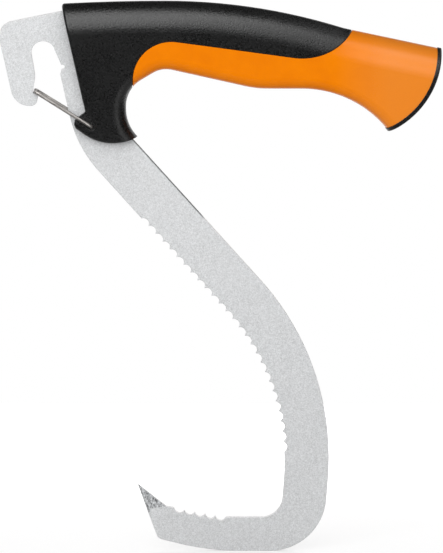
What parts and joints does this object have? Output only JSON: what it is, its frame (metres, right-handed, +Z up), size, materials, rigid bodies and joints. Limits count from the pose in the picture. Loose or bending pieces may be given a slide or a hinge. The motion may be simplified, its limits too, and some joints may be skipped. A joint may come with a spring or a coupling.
{
  "type": "log hook",
  "caption": "Hand-held flat steel hook with a toothed inner edge and a ground point, a moulded grip with a soft sleeve, and a sprung wire gate across its belt slot.",
  "frame": {"origin": "middle of the grip, on the middle plane of the plate, at mount hand_grip", "axes": "+Z up along the hook's height with the point at the bottom, +X from the belt slot to the rear of the grip, +Y across the plate"},
  "size_m": [0.2414, 0.0296, 0.3028],
  "materials": {
    "blade_steel": "bead-blasted",
    "hard_plastic": "fine matte grain",
    "soft_orange": "soft satin",
    "cap_plastic": "fine matte grain",
    "wire_steel": "drawn wire"
  },
  "bodies": {
    "hook": {"hook_blade": "blade_steel", "handle_core": "hard_plastic", "soft_grip": "soft_orange", "end_cap": "cap_plastic"},
    "gate": {"gate_wire": "wire_steel"}
  },
  "joints": [
    {"name": "gate_swing", "type": "hinge", "parent": "hook", "child": "gate", "pos_m": [-0.08296, 0, -0.0438], "axis": [0, 1, 0], "range_deg": [0, 31.5], "stiffness_Nm_per_rad": 0.3, "springref_deg": -20.05}
  ]
}
